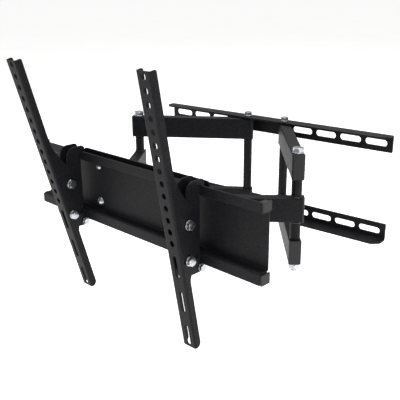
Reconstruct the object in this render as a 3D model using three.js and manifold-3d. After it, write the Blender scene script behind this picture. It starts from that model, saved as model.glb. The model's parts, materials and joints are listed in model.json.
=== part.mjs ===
// Full motion TV wall mount: two wall rails, two folding arms, and a levelled, tilting TV carrier.
// Frame: millimetres, +Z up, X to the right along the wall, +Y into the wall.
// The origin is the centre of the wall frame, on the wall's surface.
import * as THREE from 'three';
import { mergeVertices } from 'three/addons/utils/BufferGeometryUtils.js';
import Module from 'manifold-3d';

const wasm = await Module();
wasm.setup();

// Fits
const gap = 0.3;                    // between faces that touch
const boreClearance = 0.5;          // radial, round a bolt in a plain hole
const openPivotClearance = 1.5;     // radial, in the one pivot that closes the arm linkage

// Wall frame
const wallRailLength = 490;
const wallFrameHeight = 189;
const wallWebHeight = 31;
const wallFlangeDepth = 31;
const wallSheet = 2.5;
const wallBend = 2;                 // inside bend radius
const wallSlotLength = 40;
const wallSlotWidth = 11;
const wallSlotPitch = 48;
const wallSlotFirst = 71;           // centre of the innermost slot
const wallSlotsPerSide = 4;
const flangeCorner = 8;             // cut across the flange's outer corners
const wallPivotSpacing = 82;
const wallPivotDepth = 16.5;        // pivot axis in front of the wall

// Arms
const tubeWidth = 20;
const tubeHeight = 40;
const tubeWall = 1.8;
const tubeCorner = 2.5;
const wallArmLength = 214;          // pivot to elbow
const frontArmLength = 180;         // elbow to carrier pivot
const wallEnd = 10;                 // tube past the wall pivot
const elbowEnd = 12.5;              // tube past the elbow
const carrierEnd = 11;              // tube past the carrier pivot
const capThickness = 3.5;
const capInsert = 1.5;
const capCorner = 3;
const postDiameter = 16;
const elbowSpacerDiameter = 16.5;
const slipWasher = 1.5;             // nylon washer thickness

// Rest pose of the arms, in degrees from the wall
const leftWallAngle = 32.1;
const leftFrontAngle = 55.9;
const carrierYaw = -4.25;

// Carrier between the arms and the TV plate
const carrierPivotSpacing = 150.7;
const carrierPivotBehind = 36;      // pivot axis behind the TV plate's front face
const carrierPlateLength = 305;
const carrierPlateHeight = 124;
const carrierSheet = 3;
const earWidth = 24;

// TV plate
const tvPlateLength = 532;
const tvPlateHeight = 121.6;
const tvPlateDepth = 15.9;          // lip front to web front
const tvPlateSheet = 2.5;
const tvPlateBend = 1.5;
const topLip = 15.6;
const bottomLip = 18;
const levelBoltX = 108;
const upperLevelZ = 35;
const lowerLevelZ = -28;
const levelAngle = 1.5;               // degrees each way
const endCapWidth = 3;

// Hook brackets and TV rails
const leftBracketX = -150;          // along the TV plate
const rightBracketX = 140;
const bracketSheet = 2.5;
const bracketTop = 70;
const bracketBottom = -75;
const hookReach = 9.5;              // hook tip behind the TV plate's front face
const hookDrop = 50;                // lowest point of the hook tip
const tiltPivotFront = 25;          // pivot axis in front of the TV plate
const tiltPivotZ = 7.5;
const tiltLockDrop = 56;            // lock bolt below the pivot
const tiltForward = 15.5;
const tiltBack = 3;
const leftTilt = 15;
const rightTilt = 10;
const tvRailLength = 440;
const tvRailWidth = 28;
const tvRailWeb = 12;
const tvRailSheet = 2;
const tvRailFront = 25.5;           // rail face in front of the tilt pivot
const tvRailAbove = 231.5;          // rail top above the tilt pivot
const earBack = 10;                 // rail ear behind the tilt pivot
const tvHolePitch = 19;
const tvHoleWidth = 8;
const tvHoleLength = 10;
const tvHoleFirst = 7.5;            // from the top end
const tvHoleCount = 14;
const tvSlotWidth = 7.5;
const tvSlotLength = 38;
const tvSlotFirst = 22.5;           // from the bottom end
const tvSlotPitch = 62;
const tvSlotCount = 3;
const bracketWidth = tvRailWidth - 2 * tvRailSheet - 2 * gap;

// Fasteners: shank diameter, width across flats, head height, nut height
const m10 = { shank: 10, flats: 16, head: 6.4, nut: 9, washer: 18, washerThickness: 1.8 };
const m8 = { shank: 8, flats: 13, head: 5.3, nut: 7.5, washer: 16, washerThickness: 1.6 };
const m6 = { shank: 6, flats: 10, head: 4, nut: 5.5, washer: 12, washerThickness: 1.4 };

const xAxis = new THREE.Vector3(1, 0, 0);
const yAxis = new THREE.Vector3(0, 1, 0);
const zAxis = new THREE.Vector3(0, 0, 1);
const radians = THREE.MathUtils.degToRad;

const paintedSteel = () => new THREE.MeshStandardMaterial({ color: 0x2a2a2c, roughness: 0.55, metalness: 0.3 });
const zincSteel = () => new THREE.MeshStandardMaterial({ color: 0xc9ccd0, roughness: 0.3, metalness: 1 });
const blackPlastic = () => new THREE.MeshStandardMaterial({ color: 0x1b1b1c, roughness: 0.7, metalness: 0 });

// ---- solids ----

function solid(geometry) {
  const bare = geometry.clone();
  bare.deleteAttribute('normal');
  bare.deleteAttribute('uv');
  const merged = mergeVertices(bare, 1e-4);
  return new wasm.Manifold(new wasm.Mesh({
    numProp: 3,
    vertProperties: new Float32Array(merged.attributes.position.array),
    triVerts: new Uint32Array(merged.index.array),
  }));
}

function geometryOf(body) {
  const data = body.getMesh();
  const geometry = new THREE.BufferGeometry();
  geometry.setAttribute('position', new THREE.BufferAttribute(new Float32Array(data.vertProperties), 3));
  geometry.setIndex(new THREE.BufferAttribute(new Uint32Array(data.triVerts), 1));
  geometry.computeVertexNormals();
  return geometry;
}

const join = (...bodies) => bodies.reduce((whole, body) => whole.add(body));
const cut = (body, ...tools) => tools.reduce((rest, tool) => rest.subtract(tool), body);

function add(parent, name, body, material) {
  const mesh = new THREE.Mesh(geometryOf(body), material);
  mesh.name = name;
  parent.add(mesh);
  return mesh;
}

function placed(parent, x, y, z, turn = 0) {
  const group = new THREE.Group();
  group.position.set(x, y, z);
  group.rotation.z = turn;
  parent.add(group);
  return group;
}

// ---- shapes ----

function roundedRectangle(width, height, radius) {
  const shape = new THREE.Shape();
  const x = width / 2 - radius;
  const y = height / 2 - radius;
  shape.absarc(x, y, radius, 0, Math.PI / 2);
  shape.absarc(-x, y, radius, Math.PI / 2, Math.PI);
  shape.absarc(-x, -y, radius, Math.PI, Math.PI * 1.5);
  shape.absarc(x, -y, radius, Math.PI * 1.5, Math.PI * 2);
  return shape;
}

// A slot with round ends, its length along the first coordinate
function slotShape(length, width) {
  return roundedRectangle(length, width, width / 2 - 0.001);
}

// Section of a bent sheet whose middle line runs through the points
function sheetSection(points, thickness, insideRadius) {
  const line = points.map(([x, y]) => new THREE.Vector2(x, y));
  const middleRadius = insideRadius + thickness / 2;
  const stations = [];
  line.forEach((corner, index) => {
    const before = line[index - 1];
    const after = line[index + 1];
    const inward = before ? corner.clone().sub(before).normalize() : after.clone().sub(corner).normalize();
    const outward = after ? after.clone().sub(corner).normalize() : inward;
    const turn = Math.atan2(inward.cross(outward), inward.dot(outward));
    if (Math.abs(turn) < 1e-6) {
      stations.push({ point: corner, direction: inward });
      return;
    }
    const setback = middleRadius * Math.tan(Math.abs(turn) / 2);
    const side = new THREE.Vector2(-inward.y, inward.x).multiplyScalar(Math.sign(turn));
    const centre = corner.clone().addScaledVector(inward, -setback).addScaledVector(side, middleRadius);
    const steps = 3;
    for (let step = 0; step <= steps; step += 1) {
      const angle = turn * step / steps;
      const direction = inward.clone().rotateAround(new THREE.Vector2(), angle);
      const radial = new THREE.Vector2(direction.y, -direction.x).multiplyScalar(Math.sign(turn));
      stations.push({ point: centre.clone().addScaledVector(radial, middleRadius), direction });
    }
  });
  const offset = (side) => stations.map(({ point, direction }) => point.clone()
    .add(new THREE.Vector2(-direction.y, direction.x).multiplyScalar(side * thickness / 2)));
  return new THREE.Shape([...offset(1), ...offset(-1).reverse()]);
}

function extruded(shape, length, curveSegments = 6) {
  const geometry = new THREE.ExtrudeGeometry(shape, { depth: length, bevelEnabled: false, curveSegments });
  return geometry.translate(0, 0, -length / 2);
}

// The shape's axes become Y and Z, and it is extruded along X, centred
function alongX(shape, length, segments) {
  return solid(extruded(shape, length, segments)
    .applyMatrix4(new THREE.Matrix4().makeBasis(yAxis, zAxis, xAxis)));
}

// The shape's axes become X and Z, and it is extruded along Y, centred
function alongY(shape, length, segments) {
  return solid(extruded(shape, length, segments)
    .applyMatrix4(new THREE.Matrix4().makeBasis(xAxis, zAxis, yAxis.clone().negate())));
}

function alongZ(shape, length, segments) {
  return solid(extruded(shape, length, segments));
}

function box(x0, x1, y0, y1, z0, z1) {
  const geometry = new THREE.BoxGeometry(x1 - x0, y1 - y0, z1 - z0);
  return solid(geometry.translate((x0 + x1) / 2, (y0 + y1) / 2, (z0 + z1) / 2));
}

function rodZ(diameter, z0, z1, sides = 20) {
  const geometry = new THREE.CylinderGeometry(diameter / 2, diameter / 2, z1 - z0, sides);
  return solid(geometry.rotateX(Math.PI / 2).translate(0, 0, (z0 + z1) / 2));
}

function rodX(diameter, x0, x1, sides = 20) {
  const geometry = new THREE.CylinderGeometry(diameter / 2, diameter / 2, x1 - x0, sides);
  return solid(geometry.rotateZ(Math.PI / 2).translate((x0 + x1) / 2, 0, 0));
}

function rodY(diameter, y0, y1, sides = 20) {
  const geometry = new THREE.CylinderGeometry(diameter / 2, diameter / 2, y1 - y0, sides);
  return solid(geometry.translate(0, (y0 + y1) / 2, 0));
}

const hexZ = (flats, z0, z1) => rodZ(flats / Math.cos(Math.PI / 6), z0, z1, 6);
const hexX = (flats, x0, x1) => rodX(flats / Math.cos(Math.PI / 6), x0, x1, 6);
const hexY = (flats, y0, y1) => rodY(flats / Math.cos(Math.PI / 6), y0, y1, 6);
const ringZ = (outer, inner, z0, z1) => cut(rodZ(outer, z0, z1), rodZ(inner, z0 - 1, z1 + 1));
const bore = (fastener) => fastener.shank + 2 * boreClearance;

// ---- wall frame ----

const frameTop = wallFrameHeight / 2;
const wallPivotX = wallPivotSpacing / 2;
const flangeInside = frameTop - wallSheet;
const linkTop = flangeInside - slipWasher - gap;
const linkZ = linkTop - tubeHeight / 2;
const linkBottom = linkTop - tubeHeight;

function wallRail() {
  const section = sheetSection([
    [-wallSheet / 2, frameTop - wallWebHeight],
    [-wallSheet / 2, frameTop - wallSheet / 2],
    [-wallFlangeDepth, frameTop - wallSheet / 2],
  ], wallSheet, wallBend);
  let rail = alongX(section, wallRailLength);
  const slot = alongY(slotShape(wallSlotLength, wallSlotWidth), 4 * wallSheet, 4);
  const slotZ = frameTop - wallWebHeight / 2 - wallSheet / 4;
  const pivotHole = rodZ(bore(m8), flangeInside - 1, frameTop + 1);
  const corner = box(0, 2 * flangeCorner, -flangeCorner, flangeCorner, frameTop - 2 * wallSheet, frameTop + 1);
  for (const side of [-1, 1]) {
    for (let index = 0; index < wallSlotsPerSide; index += 1) {
      rail = cut(rail, slot.translate([side * (wallSlotFirst + index * wallSlotPitch), 0, slotZ]));
    }
    rail = cut(rail, pivotHole.translate([side * wallPivotX, -wallPivotDepth, 0]));
    const turned = corner.rotate([0, 0, side > 0 ? -45 : -135]);
    const reach = flangeCorner / Math.SQRT2;
    rail = cut(rail, turned.translate([side * (wallRailLength / 2 - reach), -wallFlangeDepth + reach, 0]));
  }
  return rail;
}

const boltReach = 24;               // wall pivot bolt inside the post
const pivotHeadZ = frameTop + 2 * gap + m8.washerThickness;

function wallPivotBolt() {
  return join(hexZ(m8.flats, pivotHeadZ, pivotHeadZ + m8.head), rodZ(m8.shank, linkBottom - boltReach, pivotHeadZ + 1));
}

// ---- arms ----

// Box tube along +X from its first pivot at the origin, open at both ends for the caps
function armTube(length, startPast, endPast, startBore, endBore) {
  const section = roundedRectangle(tubeWidth, tubeHeight, tubeCorner);
  section.holes.push(roundedRectangle(tubeWidth - 2 * tubeWall, tubeHeight - 2 * tubeWall, tubeCorner - 1));
  const start = -startPast + capThickness + gap;
  const end = length + endPast - capThickness - gap;
  const tube = alongX(section, end - start, 3).translate([(start + end) / 2, 0, 0]);
  return cut(
    tube,
    rodZ(startBore, -tubeHeight, tubeHeight),
    rodZ(endBore, -tubeHeight, tubeHeight).translate([length, 0, 0]),
  );
}

// Push-in cap whose outer face looks along +X
function tubeCap() {
  const plan = new THREE.Shape();
  const half = tubeWidth / 2;
  plan.moveTo(-capThickness, -half);
  plan.lineTo(-capCorner, -half);
  plan.absarc(-capCorner, -half + capCorner, capCorner, -Math.PI / 2, 0);
  plan.absarc(-capCorner, half - capCorner, capCorner, 0, Math.PI / 2);
  plan.lineTo(-capThickness, half);
  const tongue = (wall, length) => alongX(
    roundedRectangle(tubeWidth - 2 * wall, tubeHeight - 2 * wall, tubeCorner - 1),
    length,
    3,
  );
  const insert = tongue(tubeWall + gap, capInsert + 0.5).translate([-capThickness - capInsert / 2 + 0.25, 0, 0]);
  const pocket = tongue(2 * tubeWall + gap, capInsert + 1).translate([-capThickness - capInsert / 2 - 0.5, 0, 0]);
  return cut(join(alongZ(plan, tubeHeight, 3), insert), pocket);
}

function armPost() {
  const half = linkBottom - gap;
  const bored = rodZ(m8.shank + gap, half - boltReach, half + 1);
  return cut(rodZ(postDiameter, -half, half, 32), bored, bored.rotate([180, 0, 0]));
}

const elbowHeadZ = linkTop + gap + m10.washerThickness + gap;
const frontTop = tubeHeight / 2;

function elbowAxle() {
  return join(
    hexZ(m10.flats, elbowHeadZ, elbowHeadZ + m10.head),
    rodZ(m10.shank, -elbowHeadZ - m10.nut - 3, elbowHeadZ + 1),
  );
}

const elbowNut = () => cut(
  hexZ(m10.flats, -elbowHeadZ - m10.nut, -elbowHeadZ),
  rodZ(m10.shank + 2 * gap, -elbowHeadZ - m10.nut - 1, -elbowHeadZ + 1),
);

function elbowSpacer() {
  return ringZ(elbowSpacerDiameter, bore(m10), frontTop + 2 * gap + slipWasher, linkBottom - gap);
}

// One arm. Its wall link runs along the wall group's +X, its front link along the elbow group's +X
function buildArm(side, wallGroup, elbowGroup, carrierBore) {
  const link = armTube(wallArmLength, wallEnd, elbowEnd, bore(m8), bore(m10));
  const endCap = tubeCap();
  const startCap = endCap.rotate([0, 0, 180]);
  const elbow = [wallArmLength, 0, 0];
  for (const [level, up] of [['upper', 1], ['lower', -1]]) {
    const height = [0, 0, up * linkZ];
    const name = `${side}_${level}_wall_link`;
    add(wallGroup, name, link.translate(height), paintedSteel());
    add(wallGroup, `${name}_wall_cap`, startCap.translate([-wallEnd, 0, up * linkZ]), blackPlastic());
    add(wallGroup, `${name}_elbow_cap`, endCap.translate([wallArmLength + elbowEnd, 0, up * linkZ]), blackPlastic());
    const spacer = up > 0 ? elbowSpacer() : elbowSpacer().rotate([180, 0, 0]);
    add(wallGroup, `${side}_${level}_elbow_spacer`, spacer.translate(elbow), paintedSteel());
  }
  add(wallGroup, `${side}_post`, armPost(), paintedSteel());
  add(wallGroup, `${side}_elbow_axle`, elbowAxle().translate(elbow), zincSteel());
  add(wallGroup, `${side}_elbow_nut`, elbowNut().translate(elbow), zincSteel());
  const front = armTube(frontArmLength, elbowEnd, carrierEnd, bore(m10), carrierBore);
  add(elbowGroup, `${side}_front_link`, front, paintedSteel());
  add(elbowGroup, `${side}_front_link_elbow_cap`, startCap.translate([-elbowEnd, 0, 0]), blackPlastic());
  add(elbowGroup, `${side}_front_link_carrier_cap`, endCap.translate([frontArmLength + carrierEnd, 0, 0]), blackPlastic());
}

// ---- carrier ----
// Carrier frame: origin on the TV plate's front face at its centre, +Y into the wall

const webBack = tvPlateDepth + tvPlateSheet;
const carrierFront = webBack + gap;
const carrierBack = carrierFront + carrierSheet;
const carrierPivotX = carrierPivotSpacing / 2;
const earInside = frontTop + slipWasher + 2 * gap;

// The upper and the lower pair of bolts that hold the TV plate: size, height, and dome of the head
const levelBolts = {
  upper: { fastener: m6, z: upperLevelZ, domeDiameter: 10, domeHeight: 3.3 },
  lower: { fastener: m8, z: lowerLevelZ, domeDiameter: 16, domeHeight: 4.6 },
};

function carrierPlate() {
  const plateShape = roundedRectangle(carrierPlateLength, carrierPlateHeight, 6);
  let plate = alongY(plateShape, carrierSheet, 4).translate([0, (carrierFront + carrierBack) / 2, 0]);
  const earShape = new THREE.Shape();
  earShape.moveTo(-earWidth / 2, carrierFront + 1);
  earShape.lineTo(earWidth / 2, carrierFront + 1);
  earShape.lineTo(earWidth / 2, carrierPivotBehind);
  earShape.absarc(0, carrierPivotBehind, earWidth / 2, 0, Math.PI);
  const ear = cut(
    alongZ(earShape, carrierSheet, 8),
    rodZ(bore(m8), -carrierSheet, carrierSheet).translate([0, carrierPivotBehind, 0]),
  );
  const levelHole = (fastener) => rodY(bore(fastener), carrierFront - 1, carrierBack + 1);
  for (const x of [-carrierPivotX, carrierPivotX]) {
    for (const level of [1, -1]) {
      plate = join(plate, ear.translate([x, 0, level * (earInside + carrierSheet / 2)]));
    }
  }
  for (const x of [-levelBoltX, levelBoltX]) {
    for (const { fastener, z } of Object.values(levelBolts)) {
      plate = cut(plate, levelHole(fastener).translate([x, 0, z]));
    }
  }
  return plate;
}

const earOutside = earInside + carrierSheet;
const carrierHeadZ = earOutside + 2 * gap + m8.washerThickness;

function carrierPivotBolt() {
  return join(
    hexZ(m8.flats, carrierHeadZ, carrierHeadZ + m8.head),
    rodZ(m8.shank, -carrierHeadZ - m8.nut - 2, carrierHeadZ + 1),
  );
}

function carrierPivotNut() {
  return cut(
    hexZ(m8.flats, -carrierHeadZ - m8.nut, -carrierHeadZ),
    rodZ(m8.shank + 2 * gap, -carrierHeadZ - m8.nut - 1, -carrierHeadZ + 1),
  );
}

const levelNutFace = carrierBack + 2 * gap + m8.washerThickness;

// Domed bolt through the TV plate's slot and the carrier plate, with its nut run on
function levelBolt({ fastener, domeDiameter, domeHeight }) {
  const sphere = (domeDiameter ** 2 / 4 + domeHeight ** 2) / (2 * domeHeight);
  const points = [new THREE.Vector2(0, 0)];
  const steps = 6;
  for (let step = 0; step <= steps; step += 1) {
    const radius = domeDiameter / 2 * (1 - step / steps);
    points.push(new THREE.Vector2(radius, Math.sqrt(sphere ** 2 - radius ** 2) - sphere + domeHeight));
  }
  const head = solid(new THREE.LatheGeometry(points, 24).rotateX(Math.PI)).translate([0, tvPlateDepth - gap, 0]);
  return join(
    head,
    rodY(fastener.shank, tvPlateDepth - gap - 0.5, levelNutFace + fastener.nut + 1.5),
    hexY(fastener.flats, levelNutFace, levelNutFace + fastener.nut),
  );
}

// ---- TV plate ----

const tvTop = tvPlateHeight / 2;

// Slot that a level bolt sweeps when the plate turns about its centre
function levelSlot(x, z, fastener) {
  const radius = Math.hypot(x, z);
  const middle = Math.atan2(z, x);
  const sweep = radians(levelAngle) + 0.006;
  const half = bore(fastener) / 2;
  const shape = new THREE.Shape();
  const end = (angle) => [radius * Math.cos(angle), radius * Math.sin(angle)];
  shape.absarc(0, 0, radius + half, middle - sweep, middle + sweep);
  shape.absarc(...end(middle + sweep), half, middle + sweep, middle + sweep + Math.PI);
  shape.absarc(0, 0, radius - half, middle + sweep, middle - sweep, true);
  shape.absarc(...end(middle - sweep), half, middle - sweep + Math.PI, middle - sweep + 2 * Math.PI);
  return alongY(shape, 4 * tvPlateSheet, 4).translate([0, tvPlateDepth, 0]);
}

function tvPlate() {
  const lipY = tvPlateSheet / 2;
  const webY = tvPlateDepth + tvPlateSheet / 2;
  const section = sheetSection([
    [lipY, tvTop],
    [lipY, tvTop - topLip],
    [webY, tvTop - topLip],
    [webY, -tvTop + bottomLip],
    [lipY, -tvTop + bottomLip],
    [lipY, -tvTop],
  ], tvPlateSheet, tvPlateBend);
  let plate = alongX(section, tvPlateLength);
  for (const x of [-levelBoltX, levelBoltX]) {
    for (const { fastener, z } of Object.values(levelBolts)) {
      plate = cut(plate, levelSlot(x, z, fastener));
    }
  }
  return plate;
}

// Plastic end that closes the groove behind a lip, whose edges are at the two heights
function plateEndCap(low, high) {
  const tongue = 8;
  const face = tvPlateLength / 2 + gap;
  const cover = box(face, face + endCapWidth, 0, webBack, low, high);
  const inner = box(
    tvPlateLength / 2 - tongue, face + 1,
    tvPlateSheet + 2 * gap, webBack - 1,
    low + 1, high - 1,
  );
  return join(cover, inner);
}

// ---- hook bracket and TV rail ----
// Bracket frame: origin on the TV plate's front face, at the plate's mid height

function bracketProfile() {
  const back = -gap;
  const shape = new THREE.Shape();
  shape.moveTo(back, -tvTop - 2 * gap);
  shape.lineTo(back, tvTop + 2 * gap);
  shape.lineTo(tvPlateSheet + gap, tvTop + 2 * gap);
  shape.lineTo(tvPlateSheet + gap, hookDrop);
  shape.lineTo(hookReach - 2, hookDrop);
  shape.lineTo(hookReach, hookDrop + 3);
  shape.lineTo(hookReach, bracketTop - 5);
  shape.lineTo(-tiltPivotFront + 16, bracketTop);
  shape.absarc(-tiltPivotFront + 15, bracketTop - 14, 14, Math.PI / 2, Math.PI);
  shape.lineTo(-tiltPivotFront - 9, tiltPivotZ + 12);
  shape.lineTo(-tiltPivotFront - 9, tiltPivotZ - tiltLockDrop + 4);
  shape.lineTo(-tiltPivotFront + 2, bracketBottom);
  shape.lineTo(tvPlateSheet + 5, bracketBottom);
  shape.lineTo(tvPlateSheet + 5, -tvTop - 2 * gap);
  return shape;
}

function hookBracket() {
  const inside = bracketWidth / 2 - bracketSheet;
  const webFront = -gap - bracketSheet;
  return cut(
    alongX(bracketProfile(), bracketWidth, 5),
    box(-inside, inside, -60, webFront, bracketBottom - 5, bracketTop + 5),
    box(-inside, inside, -60, 40, tvTop - topLip, bracketTop + 5),
    box(-inside, inside, -60, 40, bracketBottom - 5, -tvTop + 4),
    ...[0, -tiltLockDrop].map((drop) => rodX(bore(m8), -40, 40).translate([0, -tiltPivotFront, tiltPivotZ + drop])),
    rodX(bore(m6), -40, 40).translate([0, tvPlateSheet / 2, safetyZ]),
  );
}

const safetyZ = -tvTop - m6.shank / 2 - 4;

// Bolt across a bracket, with its nut run on; the outer faces that it clamps are at plus and minus face
function crossBolt(fastener, face) {
  const under = face + 2 * gap + fastener.washerThickness;
  return join(
    hexX(fastener.flats, under, under + fastener.head),
    rodX(fastener.shank, -under - fastener.nut - 2, under + 1),
    hexX(fastener.flats, -under - fastener.nut, -under),
  );
}

// Furthest back that the rail's ear reaches at a height below the pivot, clear of the TV plate at full tilt
const earClear = (z) => {
  const lean = radians(tiltForward);
  return (tiltPivotFront - 2 * gap + z * Math.sin(lean)) / Math.cos(lean);
};
const earLeanStart = (tiltPivotFront - 2 * gap - earBack * Math.cos(radians(tiltForward)))
  / Math.sin(radians(tiltForward));

function tvRailProfile() {
  const front = -tvRailFront;
  const webBackY = front + tvRailWeb;
  const bottom = tvRailAbove - tvRailLength;
  const corner = 8;
  const topCorner = 3;
  const shape = new THREE.Shape();
  shape.moveTo(front, bottom);
  shape.lineTo(webBackY - corner, bottom);
  shape.absarc(webBackY - corner, bottom + corner, corner, -Math.PI / 2, 0);
  shape.lineTo(webBackY, -tiltLockDrop - 26);
  shape.lineTo(earClear(-tiltLockDrop - 14) - 4, -tiltLockDrop - 14);
  shape.lineTo(earClear(-tiltLockDrop - 9), -tiltLockDrop - 9);
  shape.lineTo(earBack, -earLeanStart);
  shape.lineTo(earBack, 8);
  shape.absarc(earBack - 12, 10, 12, 0, Math.PI / 3);
  shape.lineTo(webBackY, 75);
  shape.lineTo(webBackY, tvRailAbove - topCorner);
  shape.absarc(webBackY - topCorner, tvRailAbove - topCorner, topCorner, 0, Math.PI / 2);
  shape.lineTo(front, tvRailAbove);
  return shape;
}

// Slot that the lock bolt sweeps in the rail's ears, in the rail's own frame
function tiltSlot() {
  const start = -Math.PI / 2 - radians(tiltForward) - 0.02;
  const stop = -Math.PI / 2 + radians(tiltBack) + 0.02;
  const half = bore(m8) / 2;
  const shape = new THREE.Shape();
  const end = (angle) => [tiltLockDrop * Math.cos(angle), tiltLockDrop * Math.sin(angle)];
  shape.absarc(0, 0, tiltLockDrop + half, start, stop);
  shape.absarc(...end(stop), half, stop, stop + Math.PI);
  shape.absarc(0, 0, tiltLockDrop - half, stop, start, true);
  shape.absarc(...end(start), half, start + Math.PI, start + 2 * Math.PI);
  return alongX(shape, 2 * tvRailWidth, 6);
}

function tvRail() {
  const inside = tvRailWidth / 2 - tvRailSheet;
  const flangeBack = -tvRailFront + tvRailSheet;
  let rail = cut(
    alongX(tvRailProfile(), tvRailWidth, 5),
    box(-inside, inside, flangeBack, 60, tvRailAbove - tvRailLength - 1, tvRailAbove + 1),
    rodX(bore(m8), -tvRailWidth, tvRailWidth),
    tiltSlot(),
  );
  const opening = (length, width) => alongY(slotShape(length, width), 3 * tvRailSheet, 4).rotate([0, 90, 0]);
  const hole = opening(tvHoleLength, tvHoleWidth);
  for (let index = 0; index < tvHoleCount; index += 1) {
    rail = cut(rail, hole.translate([0, -tvRailFront, tvRailAbove - tvHoleFirst - index * tvHolePitch]));
  }
  const slot = opening(tvSlotLength, tvSlotWidth);
  const lowest = tvRailAbove - tvRailLength + tvSlotFirst;
  for (let index = 0; index < tvSlotCount; index += 1) {
    rail = cut(rail, slot.translate([0, -tvRailFront, lowest + index * tvSlotPitch]));
  }
  return rail;
}

function buildBracket(side, parent, x, tilt) {
  const bracket = placed(parent, x, 0, 0);
  bracket.name = `${side}_bracket_frame`;
  add(bracket, `${side}_hook_bracket`, hookBracket(), paintedSteel());
  const tiltBolt = crossBolt(m8, tvRailWidth / 2).translate([0, -tiltPivotFront, tiltPivotZ]);
  add(bracket, `${side}_tilt_pivot_bolt`, tiltBolt, zincSteel());
  add(bracket, `${side}_tilt_lock_bolt`, tiltBolt.translate([0, 0, -tiltLockDrop]), zincSteel());
  const safety = crossBolt(m6, bracketWidth / 2).translate([0, tvPlateSheet / 2, safetyZ]);
  add(bracket, `${side}_safety_bolt`, safety, zincSteel());
  const pivot = placed(bracket, 0, -tiltPivotFront, tiltPivotZ);
  pivot.rotation.set(radians(tilt), 0, 0);
  pivot.name = `${side}_tilt_pivot`;
  add(pivot, `${side}_tv_rail`, tvRail(), paintedSteel());
}

// ---- assembly ----

const mount = new THREE.Group();

add(mount, 'upper_wall_rail', wallRail(), paintedSteel());
add(mount, 'lower_wall_rail', wallRail().mirror([0, 0, 1]), paintedSteel());
for (const [side, across] of [['left', -1], ['right', 1]]) {
  for (const [level, up] of [['upper', 1], ['lower', -1]]) {
    const bolt = up > 0 ? wallPivotBolt() : wallPivotBolt().rotate([180, 0, 0]);
    const place = [across * wallPivotX, -wallPivotDepth, 0];
    add(mount, `${side}_${level}_wall_pivot_bolt`, bolt.translate(place), zincSteel());
  }
}

// The left arm's angles and the carrier's yaw are given; the right arm is folded to meet the carrier
const leftPivot = new THREE.Vector2(-wallPivotX, -wallPivotDepth);
const rightPivot = new THREE.Vector2(wallPivotX, -wallPivotDepth);
const along = (start, length, angle) => new THREE.Vector2(
  start.x + length * Math.cos(angle),
  start.y + length * Math.sin(angle),
);
const leftWallTurn = Math.PI + radians(leftWallAngle);
const leftFrontTurn = -radians(leftFrontAngle);
const yaw = radians(carrierYaw);
const leftElbow = along(leftPivot, wallArmLength, leftWallTurn);
const leftCarrier = along(leftElbow, frontArmLength, leftFrontTurn);
const rightCarrier = along(leftCarrier, carrierPivotSpacing, yaw);

// Elbow of a two-bar chain, on the side away from the middle of the mount
function elbowBetween(start, end) {
  const span = start.distanceTo(end);
  const reach = (wallArmLength ** 2 - frontArmLength ** 2 + span ** 2) / (2 * span);
  const rise = Math.sqrt(wallArmLength ** 2 - reach ** 2);
  const direction = end.clone().sub(start).divideScalar(span);
  return start.clone().addScaledVector(direction, reach)
    .addScaledVector(new THREE.Vector2(-direction.y, direction.x), rise);
}

const rightElbow = elbowBetween(rightPivot, rightCarrier);
const turnFrom = (start, end) => Math.atan2(end.y - start.y, end.x - start.x);

const arms = [
  ['left', leftPivot, leftElbow, leftCarrier, bore(m8)],
  ['right', rightPivot, rightElbow, rightCarrier, m8.shank + 2 * openPivotClearance],
];
for (const [side, pivot, elbow, carrier, carrierBore] of arms) {
  const wallGroup = placed(mount, pivot.x, pivot.y, 0, turnFrom(pivot, elbow));
  const elbowGroup = placed(mount, elbow.x, elbow.y, 0, turnFrom(elbow, carrier));
  wallGroup.name = `${side}_wall_pivot`;
  elbowGroup.name = `${side}_elbow`;
  buildArm(side, wallGroup, elbowGroup, carrierBore);
}

const pivotMiddle = leftCarrier.clone().add(rightCarrier).multiplyScalar(0.5);
const plateCentre = along(pivotMiddle, carrierPivotBehind, yaw - Math.PI / 2);
const carrier = placed(mount, plateCentre.x, plateCentre.y, 0, yaw);
carrier.name = 'carrier_frame';
add(carrier, 'carrier_plate', carrierPlate(), paintedSteel());
for (const [side, across] of [['left', -1], ['right', 1]]) {
  const pivot = [across * carrierPivotX, carrierPivotBehind, 0];
  add(carrier, `${side}_carrier_pivot_bolt`, carrierPivotBolt().translate(pivot), zincSteel());
  add(carrier, `${side}_carrier_pivot_nut`, carrierPivotNut().translate(pivot), zincSteel());
  for (const [level, bolt] of Object.entries(levelBolts)) {
    const place = [across * levelBoltX, 0, bolt.z];
    add(carrier, `${side}_${level}_level_bolt`, levelBolt(bolt).translate(place), zincSteel());
  }
}
add(carrier, 'tv_plate', tvPlate(), paintedSteel());
const ledge = tvPlateSheet / 2 + gap;
const endCaps = [
  ['upper', plateEndCap(tvTop - topLip + ledge, tvTop)],
  ['lower', plateEndCap(-tvTop, -tvTop + bottomLip - ledge)],
];
for (const [level, endCap] of endCaps) {
  add(carrier, `right_${level}_plate_cap`, endCap, blackPlastic());
  add(carrier, `left_${level}_plate_cap`, endCap.mirror([1, 0, 0]), blackPlastic());
}
buildBracket('left', carrier, leftBracketX, leftTilt);
buildBracket('right', carrier, rightBracketX, rightTilt);

export default mount;
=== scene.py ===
import json
import math
import random
import bmesh
import bpy
from mathutils import Matrix, Vector


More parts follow.
